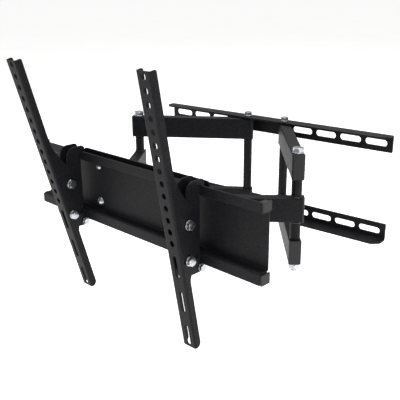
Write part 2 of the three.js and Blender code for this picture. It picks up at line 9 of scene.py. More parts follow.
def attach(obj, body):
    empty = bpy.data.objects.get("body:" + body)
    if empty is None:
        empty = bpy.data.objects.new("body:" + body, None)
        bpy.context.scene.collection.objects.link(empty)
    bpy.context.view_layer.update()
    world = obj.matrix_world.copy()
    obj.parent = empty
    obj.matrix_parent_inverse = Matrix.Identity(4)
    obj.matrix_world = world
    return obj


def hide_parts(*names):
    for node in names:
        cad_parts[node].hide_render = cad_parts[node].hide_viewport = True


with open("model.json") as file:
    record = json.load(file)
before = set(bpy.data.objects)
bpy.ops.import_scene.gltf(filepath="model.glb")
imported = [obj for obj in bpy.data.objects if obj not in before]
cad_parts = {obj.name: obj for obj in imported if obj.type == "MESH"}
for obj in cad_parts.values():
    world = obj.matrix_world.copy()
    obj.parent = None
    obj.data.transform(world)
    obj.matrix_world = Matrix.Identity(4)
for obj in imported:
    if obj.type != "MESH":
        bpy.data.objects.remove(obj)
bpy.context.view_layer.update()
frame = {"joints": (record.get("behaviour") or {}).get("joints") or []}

random.seed(11)
sides = (("left", -1), ("right", 1))
levels = (("upper", 1), ("lower", -1))

# Places, from the joints

joints = {joint["name"]: joint for joint in frame["joints"]}


def jointPoint(name):
    return Vector(joints[name]["pos_m"]) * 1000


def placeAt(point, turn=0.0, tilt=0.0):
    return Matrix.Translation(point) @ Matrix.Rotation(turn, 4, "Z") @ Matrix.Rotation(tilt, 4, "X")


def move(x, y, z):
    return Matrix.Translation((x, y, z))


def headingOf(start, end):
    return math.atan2(end.y - start.y, end.x - start.x)


zToX = Matrix.Rotation(math.radians(90), 4, "Y")
zToY = Matrix.Rotation(math.radians(-90), 4, "X")
flip = Matrix.Rotation(math.radians(180), 4, "X")
# first, second and third direction of a flat part to the mount's own
flatAcross = Matrix(((1, 0, 0, 0), (0, 0, -1, 0), (0, 1, 0, 0), (0, 0, 0, 1)))      # X, Z, -Y
flatSide = Matrix(((0, 0, 1, 0), (1, 0, 0, 0), (0, 1, 0, 0), (0, 0, 0, 1)))         # Y, Z, X
bentUpright = Matrix(((0, 1, 0, 0), (0, 0, 1, 0), (1, 0, 0, 0), (0, 0, 0, 1)))      # Z, X, Y

gap = 0.3
boltPlay = 1
m6 = {"shank": 6, "flats": 10, "head": 4, "nut": 5.5, "washer": 12, "washerThickness": 1.4, "pitch": 1.0}
m8 = {"shank": 8, "flats": 13, "head": 5.3, "nut": 7.5, "washer": 16, "washerThickness": 1.6, "pitch": 1.25}
m10 = {"shank": 10, "flats": 16, "head": 6.4, "nut": 9, "washer": 18, "washerThickness": 1.8, "pitch": 1.5}

# Materials


def linearColour(hexColour):
    channels = [int(hexColour[index:index + 2], 16) / 255 for index in (1, 3, 5)]
    return [c / 12.92 if c <= 0.04045 else ((c + 0.055) / 1.055) ** 2.4 for c in channels] + [1.0]


def addNode(tree, kind, settings=None, links=None):
    made = tree.nodes.new(kind)
    for key, value in (settings or {}).items():
        if key in made.inputs:
            made.inputs[key].default_value = value
        else:
            setattr(made, key, value)
    for key, source in (links or {}).items():
        tree.links.new(source, made.inputs[key])
    return made


def startMaterial(name, shader):
    material = bpy.data.materials.new(name)
    material.use_nodes = True
    tree = material.node_tree
    tree.nodes.clear()
    surface = addNode(tree, "ShaderNodeBsdfPrincipled", shader)
    output = addNode(tree, "ShaderNodeOutputMaterial")
    tree.links.new(surface.outputs["BSDF"], output.inputs["Surface"])
    place = addNode(tree, "ShaderNodeTexCoord")
    inMillimetres = addNode(tree, "ShaderNodeMapping", {"Scale": (1000, 1000, 1000)},
                            {"Vector": place.outputs["Object"]})
    return material, tree, surface, inMillimetres.outputs["Vector"]


def ramp(tree, source, stops):
    made = addNode(tree, "ShaderNodeValToRGB", None, {"Fac": source})
    elements = made.color_ramp.elements
    while len(elements) < len(stops):
        elements.new(0.5)
    for element, (position, colour) in zip(elements, stops):
        element.position = position
        element.color = colour
    return made


def noise(tree, where, size, detail, roughness=0.5):  # size of the grain in millimetres
    made = addNode(tree, "ShaderNodeTexNoise", {"Scale": 1 / size, "Detail": detail, "Roughness": roughness},
                   {"Vector": where})
    return made.outputs["Fac"]


def spread(tree, source, low, high):
    made = addNode(tree, "ShaderNodeMapRange", {"To Min": low, "To Max": high}, {"Value": source})
    return made.outputs["Result"]


def addBump(tree, surface, height, strength, depth):
    bump = addNode(tree, "ShaderNodeBump", {"Strength": strength, "Distance": depth}, {"Height": height})
    tree.links.new(bump.outputs["Normal"], surface.inputs["Normal"])


# Black powder coat: sprayed and baked, so it has a fine orange peel with small pale specks
powder = {"colour": "#070708", "speck": "#2b2a2e", "speckSize": 1.5, "peelSize": 0.9, "cloudSize": 45,
          "tone": (0.9, 1.1), "roughness": (0.42, 0.56), "shine": 0.13, "bump": 0.25}


def makePowderCoat():
    shader = {"IOR": 1.5, "Specular IOR Level": powder["shine"]}
    material, tree, surface, where = startMaterial("blackPowderCoat", shader)
    # specks are drawn about twice as coarse as real ones, so that they show
    specks = noise(tree, where, powder["speckSize"], 3.0, 0.7)
    colour = ramp(tree, specks, ((0.38, linearColour(powder["colour"])),
                                 (0.74, linearColour(powder["speck"]))))
    tone = spread(tree, noise(tree, where, powder["cloudSize"], 2.0), *powder["tone"])
    shade = addNode(tree, "ShaderNodeVectorMath", {"operation": "SCALE"},
                    {"Vector": colour.outputs["Color"], "Scale": tone})
    tree.links.new(shade.outputs["Vector"], surface.inputs["Base Color"])
    tree.links.new(spread(tree, specks, *powder["roughness"]), surface.inputs["Roughness"])
    addBump(tree, surface, noise(tree, where, powder["peelSize"], 2.0), powder["bump"], 0.0002)
    return material


# Bright zinc plate on steel: cold bluish metal with faint cloudy patches and drawn lines
zinc = {"colour": "#c6c9cd", "shade": "#a9adb3", "cloudSize": 6, "grainSize": 0.35, "roughness": (0.36, 0.2),
        "bump": 0.12}


def makeZinc():
    material, tree, surface, where = startMaterial("brightZincPlate", {"Metallic": 1.0})
    clouds = noise(tree, where, zinc["cloudSize"], 4.0)
    colour = ramp(tree, clouds, ((0.3, linearColour(zinc["shade"])), (0.7, linearColour(zinc["colour"]))))
    tree.links.new(colour.outputs["Color"], surface.inputs["Base Color"])
    tree.links.new(spread(tree, clouds, *zinc["roughness"]), surface.inputs["Roughness"])
    addBump(tree, surface, noise(tree, where, zinc["grainSize"], 1.0), zinc["bump"], 0.0001)
    return material


# Moulded black polypropylene: softer and greyer than the paint, with a spark-eroded grain
plastic = {"colour": "#0d0d0e", "pale": "#161618", "cloudSize": 14, "grainSize": 0.7,
           "roughness": (0.5, 0.66), "bump": 0.3}


def makePlastic(name, settings):
    material, tree, surface, where = startMaterial(name, {"IOR": 1.49})
    clouds = noise(tree, where, settings["cloudSize"], 3.0)
    colour = ramp(tree, clouds, ((0.3, linearColour(settings["colour"])),
                                 (0.75, linearColour(settings["pale"]))))
    tree.links.new(colour.outputs["Color"], surface.inputs["Base Color"])
    grain = noise(tree, where, settings["grainSize"], 2.0)
    tree.links.new(spread(tree, grain, *settings["roughness"]), surface.inputs["Roughness"])
    addBump(tree, surface, grain, settings["bump"], 0.0002)
    return material


# Nylon slip washers: smooth, a little waxy
nylon = {"colour": "#2b2b2d", "pale": "#39393b", "cloudSize": 5, "grainSize": 0.5, "roughness": (0.34, 0.44),
         "bump": 0.08}

materials = {
    "paint": (makePowderCoat(), "painted_steel"),
    "zinc": (makeZinc(), "zinc_steel"),
    "plastic": (makePlastic("mouldedPolypropylene", plastic), "black_plastic"),
    "nylon": (makePlastic("slipNylon", nylon), "black_plastic"),
}
print("materials ready")

# Shape helpers


def makePiece(name, mesh, place, finish, body, nodes=(), sharp=32):
    bmesh.ops.transform(mesh, matrix=Matrix.Scale(0.001, 4) @ place, verts=mesh.verts)
    if place.determinant() < 0:
        bmesh.ops.reverse_faces(mesh, faces=mesh.faces)
    data = bpy.data.meshes.new(name)
    mesh.to_mesh(data)
    mesh.free()
    data.shade_smooth()
    data.set_sharp_from_angle(angle=math.radians(sharp))
    material, slotName = materials[finish]
    data.materials.append(material)
    piece = bpy.data.objects.new(name, data)
    bpy.context.scene.collection.objects.link(piece)
    weighted = piece.modifiers.new("flatFaces", "WEIGHTED_NORMAL")
    weighted.keep_sharp = True
    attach(piece, body)
    if nodes:
        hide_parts(*nodes)
    return piece


def bevelEdges(mesh, edges, offset, segments=2):
    bmesh.ops.bevel(mesh, geom=edges, offset=offset, offset_type="OFFSET", segments=segments, profile=0.5,
                    affect="EDGES", clamp_overlap=True, material=-1)


def sharpEdges(mesh, degrees=50):
    limit = math.radians(degrees)
    return [edge for edge in mesh.edges if len(edge.link_faces) == 2 and edge.calc_face_angle(0.0) > limit]


def outlineLoop(mesh, corners):  # corners are (x, y) or (x, y, setback of a rounded corner)
    verts = [mesh.verts.new((corner[0], corner[1], 0)) for corner in corners]
    face = mesh.faces.new(verts)
    setbacks = sorted({corner[2] for corner in corners if len(corner) > 2})
    for setback in setbacks:
        rounded = [vert for vert, corner in zip(verts, corners) if len(corner) > 2 and corner[2] == setback]
        bmesh.ops.bevel(mesh, geom=rounded, offset=setback, offset_type="OFFSET", segments=6, profile=0.5,
                        affect="VERTICES", clamp_overlap=False, material=-1)


def roundHole(mesh, x, y, diameter, steps=40):
    bmesh.ops.create_circle(mesh, cap_ends=False, segments=steps, radius=diameter / 2, matrix=move(x, y, 0))


def slotHole(mesh, x, y, length, width, turn=0.0, steps=32):
    place = move(x, y, 0) @ Matrix.Rotation(turn, 4, "Z")
    made = bmesh.ops.create_circle(mesh, cap_ends=False, segments=steps, radius=width / 2,
                                   matrix=Matrix.Rotation(math.pi / steps, 4, "Z"))
    for vert in made["verts"]:
        vert.co.x += math.copysign((length - width) / 2, vert.co.x)
    bmesh.ops.transform(mesh, matrix=place, verts=made["verts"])


# A slot whose middle line is an arc about the origin
def arcHole(mesh, radius, middle, sweep, width, toFlat, steps=32):
    made = bmesh.ops.create_circle(mesh, cap_ends=False, segments=steps, radius=width / 2,
                                   matrix=Matrix.Rotation(math.pi / steps, 4, "Z"))
    for vert in made["verts"]:
        ends = math.copysign(sweep, vert.co.y)
        local = Vector((radius + vert.co.x, vert.co.y, 0))
        local.rotate(Matrix.Rotation(middle + ends, 3, "Z"))
        vert.co = toFlat(local)
    return made


# Fills the loops, cuts the sheet across the second direction, and gives it thickness and soft edges
def fillSheet(mesh, thickness, cuts=(), edge=0.35):
    bmesh.ops.delete(mesh, geom=mesh.faces[:], context="FACES_ONLY")
    bmesh.ops.triangle_fill(mesh, use_beauty=True, use_dissolve=False, edges=mesh.edges[:], normal=(0, 0, 1))
    for cut in cuts:
        bmesh.ops.bisect_plane(mesh, geom=mesh.verts[:] + mesh.edges[:] + mesh.faces[:], dist=0.0005,
                               plane_co=(0, cut, 0), plane_no=(0, 1, 0))
    bmesh.ops.recalc_face_normals(mesh, faces=mesh.faces)
    bmesh.ops.solidify(mesh, geom=mesh.faces[:], thickness=thickness)
    low = min(vert.co.z for vert in mesh.verts)
    bmesh.ops.translate(mesh, vec=(0, 0, -low - thickness / 2), verts=mesh.verts)
    bmesh.ops.recalc_face_normals(mesh, faces=mesh.faces)
    if edge:
        bevelEdges(mesh, sharpEdges(mesh), edge, 2)


# Where a bent sheet needs cuts; a path is a list of ("flat", length) and ("bend", degrees, middle radius)
def pathSteps(path):
    cuts, at = [], 0.0
    for part in path:
        if part[0] == "flat":
            at += part[1]
        else:
            length = abs(math.radians(part[1])) * part[2]
            cuts += [at + length * step / 6 for step in range(7)]
            at += length
    return cuts


# Rolls the second direction of a flat sheet along the path
def bendSheet(mesh, path, start, heading):
    stations, at, point, angle = [], 0.0, Vector(start), math.radians(heading)
    for part in path:
        if part[0] == "flat":
            length, turn, radius = part[1], 0.0, 0.0
        else:
            turn, radius = math.radians(part[1]), part[2]
            length = abs(turn) * radius
        stations.append((at, length, point.copy(), angle, turn, radius))
        if turn:
            side = math.copysign(1, turn)
            centre = point + side * radius * Vector((-math.sin(angle), math.cos(angle)))
            angle += turn
            point = centre - side * radius * Vector((-math.sin(angle), math.cos(angle)))
        else:
            point = point + length * Vector((math.cos(angle), math.sin(angle)))
        at += length
    for vert in mesh.verts:
        station = stations[0]
        for candidate in stations:
            if vert.co.y >= candidate[0] - 1e-6:
                station = candidate
        begin, length, origin, angle, turn, radius = station
        along = vert.co.y - begin
        if turn:
            side = math.copysign(1, turn)
            centre = origin + side * radius * Vector((-math.sin(angle), math.cos(angle)))
            angle += side * along / radius
            point = centre - side * radius * Vector((-math.sin(angle), math.cos(angle)))
        else:
            point = origin + along * Vector((math.cos(angle), math.sin(angle)))
        point = point + vert.co.z * Vector((-math.sin(angle), math.cos(angle)))
        vert.co.y, vert.co.z = point.x, point.y
    bmesh.ops.recalc_face_normals(mesh, faces=mesh.faces)


def boxShape(x0, x1, y0, y1, z0, z1, edge=0.4, segments=2):
    mesh = bmesh.new()
    place = move((x0 + x1) / 2, (y0 + y1) / 2, (z0 + z1) / 2)
    bmesh.ops.create_cube(mesh, size=1, matrix=place @ Matrix.Diagonal((x1 - x0, y1 - y0, z1 - z0, 1)))
    if edge:
        bevelEdges(mesh, mesh.edges[:], edge, segments)
    return mesh


def lathe(profile, steps=48, closed=False):  # profile is a list of (radius, height), turned about Z
    mesh = bmesh.new()
    verts = [mesh.verts.new((radius, 0, height)) for radius, height in profile]
    edges = [mesh.edges.new(pair) for pair in zip(verts, verts[1:])]
    if closed:
        edges.append(mesh.edges.new((verts[-1], verts[0])))
    bmesh.ops.spin(mesh, geom=verts + edges, cent=(0, 0, 0), axis=(0, 0, 1), dvec=(0, 0, 0),
                   angle=2 * math.pi, steps=steps, use_merge=True)
    bmesh.ops.remove_doubles(mesh, verts=mesh.verts, dist=0.0005)
    bmesh.ops.recalc_face_normals(mesh, faces=mesh.faces)
    return mesh


def gather(*shapes):  # several closed shapes, each (mesh, place), in one mesh
    whole = bmesh.new()
    for shape, place in shapes:
        bmesh.ops.transform(shape, matrix=place, verts=shape.verts)
        data = bpy.data.meshes.new("part")
        shape.to_mesh(data)
        shape.free()
        whole.from_mesh(data)
        bpy.data.meshes.remove(data)
    return whole


# Hexagon standing on Z = 0, its corners turned off at 30 degrees
def hexShape(flats, height, bothEnds=False):
    corner = flats / math.sqrt(3)
    turned = corner - flats * 0.475
    drop = turned * math.tan(math.radians(30))
    foot = [(0, 0), (flats * 0.475, 0), (corner, drop)] if bothEnds else [(0, 0), (corner, 0)]
    mesh = lathe(foot + [(corner, height - drop), (flats * 0.475, height), (0, height)], 72)
    for index in range(6):
        angle = math.radians(60 * index + 30)
        normal = Vector((math.cos(angle), math.sin(angle), 0))
        bmesh.ops.bisect_plane(mesh, geom=mesh.verts[:] + mesh.edges[:] + mesh.faces[:], dist=0.0005,
                               plane_co=normal * flats / 2, plane_no=normal, clear_outer=True)
        rim = [edge for edge in mesh.edges if edge.is_boundary]
        bmesh.ops.holes_fill(mesh, edges=rim, sides=0)
    bmesh.ops.recalc_face_normals(mesh, faces=mesh.faces)
    return mesh


# Rod with a ring-cut thread, pointed off at both ends
def threadShape(fastener, low, high, steps=32):
    radius, pitch = fastener["shank"] / 2, fastener["pitch"]
    root = radius - 0.55 * pitch
    profile = [(0, low), (root, low), (radius - 0.1, low + 0.8)]
    height = low + 0.8
    while height + pitch < high - 0.8:
        for across, rise in ((radius, 0.1), (root, 0.5), (radius, 0.9)):
            profile.append((across, height + rise * pitch))
        height += pitch
    profile += [(radius - 0.1, high - 0.8), (root, high), (0, high)]
    return lathe(profile, steps)


def rodShape(diameter, low, high, edge=0.5, steps=48):
    radius = diameter / 2
    return lathe([(0, low), (radius - edge, low), (radius, low + edge), (radius, high - edge),
                  (radius - edge, high), (0, high)], steps)


def ringShape(outer, inner, low, high, edge=0.25, steps=48):
    big, small = outer / 2, inner / 2
    return lathe([(small + edge, low), (big - edge, low), (big, low + edge), (big, high - edge),
                  (big - edge, high), (small + edge, high), (small, high - edge), (small, low + edge)],
                 steps, closed=True)


def washerShape(fastener, low):
    return ringShape(fastener["washer"], fastener["shank"] + 0.4, low, low + fastener["washerThickness"], 0.3)


# Hexagon nut under a height, with the raised ring of its locking insert
def lockNutShape(fastener, top, ringWider, ringDrop, ringHeight, edge):
    foot = top - fastener["nut"]
    ring = ringShape(fastener["shank"] + ringWider, fastener["shank"] - 0.4, 0, ringHeight, edge)
    return gather((hexShape(fastener["flats"], fastener["nut"] - ringDrop, True), move(0, 0, foot + ringDrop)),
                  (ring, move(0, 0, foot)))


def weldBead(start, end, size):  # overlapping ripples of a weld run
    first, last = Vector(start), Vector(end)
    count = max(3, int((last - first).length / (size * 0.55)))
    mesh = bmesh.new()
    for index in range(count + 1):
        at = first.lerp(last, index / count)
        wide = size * random.uniform(0.46, 0.56)
        stretch = Matrix.Diagonal((wide, wide, wide * 0.8, 1))
        bmesh.ops.create_icosphere(mesh, subdivisions=2, radius=1, matrix=Matrix.Translation(at) @ stretch)
    return mesh


# Wall rails

wallRail = {"length": 490, "top": 94.5, "low": 63.5, "flange": 31, "sheet": 2.5, "bend": 3.25,
            "slotLength": 40, "slotWidth": 11, "slotPitch": 48, "slotFirst": 71, "slots": 4,
            "corner": 11.3, "pivotX": 41, "pivotY": -16.5, "boltLow": 26.2}


def wallRailShape():
    rail = wallRail
    web = rail["top"] - rail["sheet"] / 2 - rail["bend"] - rail["low"]
    flange = rail["flange"] - rail["sheet"] / 2 - rail["bend"]
    path = [("flat", web), ("bend", 90, rail["bend"]), ("flat", flange)]
    wide = web + flange + rail["bend"] * math.pi / 2
    half, corner = rail["length"] / 2, rail["corner"]
    mesh = bmesh.new()
    outlineLoop(mesh, [(-half, 0, 1.5), (half, 0, 1.5),
                       (half, wide - corner, 1.2), (half - corner, wide, 1.2),
                       (-half + corner, wide, 1.2), (-half, wide - corner, 1.2)])
    slotZ = rail["top"] - (rail["top"] - rail["low"]) / 2 - rail["sheet"] / 4 - rail["low"]
    for _, across in sides:
        for index in range(rail["slots"]):
            slotHole(mesh, across * (rail["slotFirst"] + index * rail["slotPitch"]), slotZ,
                     rail["slotLength"], rail["slotWidth"])
        roundHole(mesh, across * rail["pivotX"], wide - rail["flange"] - rail["pivotY"],
                  m8["shank"] + boltPlay)
    fillSheet(mesh, rail["sheet"], pathSteps(path))
    bendSheet(mesh, path, (-rail["sheet"] / 2, rail["low"]), 90)
    return mesh


for level, up in levels:
    place = Matrix.Diagonal((1, 1, up, 1))
    makePiece(f"{level}_wall_rail_sheet", wallRailShape(), place, "paint", "wall_frame",
              [f"{level}_wall_rail"])

wallHead = wallRail["top"] + gap
for side, across in sides:
    for level, up in levels:
        place = move(across * wallRail["pivotX"], wallRail["pivotY"], 0) @ (Matrix() if up > 0 else flip)
        headZ = wallHead + gap + m8["washerThickness"]
        bolt = gather((hexShape(m8["flats"], m8["head"]), move(0, 0, headZ)),
                      (threadShape(m8, wallRail["boltLow"], headZ + 1), Matrix()))
        makePiece(f"{side}_{level}_wall_bolt", bolt, place, "zinc", "wall_frame",
                  [f"{side}_{level}_wall_pivot_bolt"])
        makePiece(f"{side}_{level}_wall_washer", washerShape(m8, wallHead), place, "zinc", "wall_frame")
print("wall frame ready")

# Arms

arm = {"wallLength": 214, "frontLength": 180, "width": 20, "height": 40, "corner": 2.5, "wallEnd": 10,
       "elbowEnd": 12.5, "carrierEnd": 11, "cap": 3.5, "capCorner": 3, "post": 16, "spacer": 16.5,
       "slip": 1.5, "slipDiameter": 19, "railInside": 92}
linkTop = arm["railInside"] - arm["slip"] - gap
linkMiddle = linkTop - arm["height"] / 2
linkLow = linkTop - arm["height"]


def tubeShape(length, startPast, endPast):
    inset = arm["cap"] + gap
    low, high = -startPast + inset, length + endPast - inset
    half, tall = arm["width"] / 2, arm["height"] / 2
    mesh = boxShape(low, high, -half, half, -tall, tall, edge=0)
    long = [edge for edge in mesh.edges if abs(edge.verts[0].co.x - edge.verts[1].co.x) > 1]
    bevelEdges(mesh, long, arm["corner"], 6)
    bevelEdges(mesh, sharpEdges(mesh, 60), 0.25, 2)
    return mesh


def capShape():
    half, corner = arm["width"] / 2, arm["capCorner"]
    mesh = bmesh.new()
    outlineLoop(mesh, [(-arm["cap"], -half), (0, -half, corner), (0, half, corner), (-arm["cap"], half)])
    fillSheet(mesh, arm["height"], edge=0)
    bevelEdges(mesh, sharpEdges(mesh, 60), 0.7, 3)
    return mesh


def slipShape(fastener, low):
    return ringShape(arm["slipDiameter"], fastener["shank"] + 0.6, low, low + arm["slip"])


backward = Matrix.Rotation(math.pi, 4, "Z")
carrierPoint = jointPoint("plate_level")
levelAxis = Vector(joints["plate_level"]["axis"])
yaw = math.atan2(-levelAxis.x, levelAxis.y)
carrierPlace = placeAt(carrierPoint, yaw)
carrier = {"length": 305, "height": 124, "sheet": 3, "front": 18.7, "pivotX": 75.35, "pivotY": 36,
           "earWidth": 24, "earInside": 22.1, "levelX": 108}
tvPlate = {"length": 532, "top": 60.8, "depth": 15.9, "sheet": 2.5, "bend": 2.75, "topLip": 15.6,
           "bottomLip": 18, "levelSweep": math.radians(1.5) + 0.006, "cap": 3}
domeFoot = tvPlate["depth"] - gap
# size, height on the plate, and dome of the head of the bolts that hold the TV plate
levelBolts = {"upper": {"size": m6, "z": 35, "dome": 5, "tall": 3.3},
              "lower": {"size": m8, "z": -28, "dome": 8, "tall": 4.6}}
carrierPivots = {side: carrierPlace @ Vector((across * carrier["pivotX"], carrier["pivotY"], 0))
                 for side, across in sides}

for side, across in sides:
    wallPoint = jointPoint("extension" if side == "left" else "right_wall_pivot")
    elbowPoint = jointPoint(f"{side}_elbow")
    wallPlace = placeAt(wallPoint, headingOf(wallPoint, elbowPoint))
    frontPlace = placeAt(elbowPoint, headingOf(elbowPoint, carrierPivots[side]))
    body, frontBody = f"{side}_wall_arm", f"{side}_front_arm"
    elbow = move(arm["wallLength"], 0, 0)
    for level, up in levels:
        high = move(0, 0, up * linkMiddle)
        name = f"{side}_{level}_wall_link"
        makePiece(f"{name}_tube", tubeShape(arm["wallLength"], arm["wallEnd"], arm["elbowEnd"]),
                  wallPlace @ high, "paint", body, [name])
        makePiece(f"{name}_inner_plug", capShape(), wallPlace @ high @ move(-arm["wallEnd"], 0, 0) @ backward,
                  "plastic", body, [f"{name}_wall_cap"])
        makePiece(f"{name}_outer_plug", capShape(),
                  wallPlace @ high @ move(arm["wallLength"] + arm["elbowEnd"], 0, 0),
                  "plastic", body, [f"{name}_elbow_cap"])
        upright = Matrix() if up > 0 else flip
        spacerLow = arm["height"] / 2 + 2 * gap + arm["slip"]
        makePiece(f"{side}_{level}_elbow_sleeve",
                  ringShape(arm["spacer"], m10["shank"] + boltPlay, spacerLow, linkLow - gap, 0.6),
                  wallPlace @ elbow @ upright, "paint", body, [f"{side}_{level}_elbow_spacer"])
        makePiece(f"{side}_{level}_elbow_slip_washer",
                  slipShape(m10, arm["height"] / 2 + gap), wallPlace @ elbow @ upright, "nylon", body)
        makePiece(f"{side}_{level}_wall_slip_washer",
                  slipShape(m8, linkTop + gap / 2), wallPlace @ upright, "nylon", body)
        makePiece(f"{side}_{level}_elbow_washer", washerShape(m10, linkTop + gap),
                  wallPlace @ elbow @ upright, "zinc", body)
    postHalf = linkLow - gap
    makePiece(f"{side}_post_tube", rodShape(arm["post"], -postHalf, postHalf, 0.8, 64), wallPlace, "paint",
              body, [f"{side}_post"])
    headZ = linkTop + 2 * gap + m10["washerThickness"]
    axle = gather((hexShape(m10["flats"], m10["head"]), move(0, 0, headZ)),
                  (rodShape(m10["shank"], -headZ, headZ + 1), Matrix()),
                  (threadShape(m10, -headZ - m10["nut"] - 3, -headZ + 2), Matrix()))
    makePiece(f"{side}_elbow_bolt", axle, wallPlace @ elbow, "zinc", body, [f"{side}_elbow_axle"])
    makePiece(f"{side}_elbow_lock_nut", lockNutShape(m10, -headZ, 3.2, 1.4, 1.6, 0.5), wallPlace @ elbow,
              "zinc", body, [f"{side}_elbow_nut"])
    name = f"{side}_front_link"
    makePiece(f"{name}_tube", tubeShape(arm["frontLength"], arm["elbowEnd"], arm["carrierEnd"]), frontPlace,
              "paint", frontBody, [name])
    makePiece(f"{name}_elbow_plug", capShape(), frontPlace @ move(-arm["elbowEnd"], 0, 0) @ backward,
              "plastic", frontBody, [f"{name}_elbow_cap"])
    carrierEnd = move(arm["frontLength"] + arm["carrierEnd"], 0, 0)
    makePiece(f"{name}_carrier_plug", capShape(), frontPlace @ carrierEnd, "plastic", frontBody,
              [f"{name}_carrier_cap"])
print("arms ready")

# Carrier plate


def carrierShape():
    half, tall, back = carrier["length"] / 2, carrier["height"] / 2, carrier["front"] + carrier["sheet"]
    flat = bmesh.new()
    outlineLoop(flat, [(-half, -tall, 6), (half, -tall, 6), (half, tall, 6), (-half, tall, 6)])
    for _, across in sides:
        for bolt in levelBolts.values():
            roundHole(flat, across * carrier["levelX"], bolt["z"], bolt["size"]["shank"] + boltPlay)
    fillSheet(flat, carrier["sheet"])
    parts = [(flat, move(0, carrier["front"] + carrier["sheet"] / 2, 0) @ flatAcross)]
    wide = carrier["earWidth"] / 2
    for _, across in sides:
        for _, up in levels:
            ear = bmesh.new()
            outlineLoop(ear, [(-wide, 0), (wide, 0), (wide, carrier["pivotY"] + wide - back, wide - 0.01),
                              (-wide, carrier["pivotY"] + wide - back, wide - 0.01)])
            roundHole(ear, 0, carrier["pivotY"] - back, m8["shank"] + boltPlay)
            fillSheet(ear, carrier["sheet"])
            middle = up * (carrier["earInside"] + carrier["sheet"] / 2)
            parts.append((ear, move(across * carrier["pivotX"], back - 0.05, middle)))
            for face in (1, -1):
                z = middle + face * carrier["sheet"] / 2
                x = across * carrier["pivotX"]
                start, end = (x - wide + 1, back + 0.1, z), (x + wide - 1, back + 0.1, z)
                parts.append((weldBead(start, end, 2.6), Matrix()))
    return gather(*parts)


makePiece("carrier_plate_welded", carrierShape(), carrierPlace, "paint", "carrier", ["carrier_plate"])
earOutside = carrier["earInside"] + carrier["sheet"]
for side, across in sides:
    pivot = carrierPlace @ move(across * carrier["pivotX"], carrier["pivotY"], 0)
    headZ = earOutside + 2 * gap + m8["washerThickness"]
    bolt = gather((hexShape(m8["flats"], m8["head"]), move(0, 0, headZ)),
                  (rodShape(m8["shank"], -headZ, headZ + 1), Matrix()),
                  (threadShape(m8, -headZ - m8["nut"] - 2, -headZ + 1), Matrix()))
    makePiece(f"{side}_carrier_bolt", bolt, pivot, "zinc", "carrier", [f"{side}_carrier_pivot_bolt"])
    makePiece(f"{side}_carrier_lock_nut", lockNutShape(m8, -headZ, 2.8, 1.2, 1.4, 0.4), pivot, "zinc",
              "carrier", [f"{side}_carrier_pivot_nut"])
    for level, up in levels:
        upright = Matrix() if up > 0 else flip
        makePiece(f"{side}_{level}_carrier_washer", washerShape(m8, earOutside + gap), pivot @ upright,
                  "zinc", "carrier")
        makePiece(f"{side}_{level}_carrier_slip_washer",
                  slipShape(m8, carrier["earInside"] - gap / 2 - arm["slip"]), pivot @ upright, "nylon",
                  "carrier")
        size, dome, tall = (levelBolts[level][key] for key in ("size", "dome", "tall"))
        spot = carrierPlace @ move(across * carrier["levelX"], 0, levelBolts[level]["z"]) @ zToY
        sphere = (dome ** 2 + tall ** 2) / (2 * tall)
        profile = [(0, domeFoot - tall)]
        for step in range(1, 9):
            radius = dome * step / 8
            profile.append((radius, domeFoot - (math.sqrt(sphere ** 2 - radius ** 2) - sphere + tall)))
        profile += [(dome - 0.2, domeFoot), (0, domeFoot)]
        nutFace = carrier["front"] + carrier["sheet"] + 2 * gap + m8["washerThickness"]
        bolt = gather((lathe(profile, 48), Matrix()),
                      (threadShape(size, domeFoot - 0.4, nutFace + size["nut"] + 1.5), Matrix()),
                      (hexShape(size["flats"], size["nut"], True), move(0, 0, nutFace)))
        makePiece(f"{side}_{level}_dome_bolt", bolt, spot, "zinc", "carrier", [f"{side}_{level}_level_bolt"])
        washer = washerShape(size, nutFace - gap - size["washerThickness"])
        makePiece(f"{side}_{level}_level_washer", washer, spot, "zinc", "carrier")
print("carrier ready")

# TV plate


def tvPlateShape():
    plate = tvPlate
    bend = plate["bend"]
    quarter = bend * math.pi / 2
    step = plate["depth"] - 2 * bend
    webTop, webLow = plate["top"] - plate["topLip"], -plate["top"] + plate["bottomLip"]
    path = [("flat", plate["topLip"] - bend), ("bend", 90, bend), ("flat", step), ("bend", -90, bend),
            ("flat", webTop - webLow - 2 * bend), ("bend", -90, bend), ("flat", step), ("bend", 90, bend),
            ("flat", plate["bottomLip"] - bend)]
    webStart = plate["topLip"] - bend + 2 * quarter + step
    wide = sum(part[1] for part in path if part[0] == "flat") + 4 * quarter
    half = plate["length"] / 2
    mesh = bmesh.new()
    outlineLoop(mesh, [(-half, 0, 1.5), (half, 0, 1.5), (half, wide, 1.5), (-half, wide, 1.5)])
    for _, across in sides:
        for bolt in levelBolts.values():
            x, z = across * carrier["levelX"], bolt["z"]
            hole = bolt["size"]["shank"] + boltPlay
            arcHole(mesh, math.hypot(x, z), math.atan2(z, x), plate["levelSweep"], hole,
                    lambda local: Vector((local.x, webStart + webTop - bend - local.y, 0)))
    fillSheet(mesh, plate["sheet"], pathSteps(path))
    bendSheet(mesh, path, (plate["sheet"] / 2, plate["top"]), -90)
    return mesh


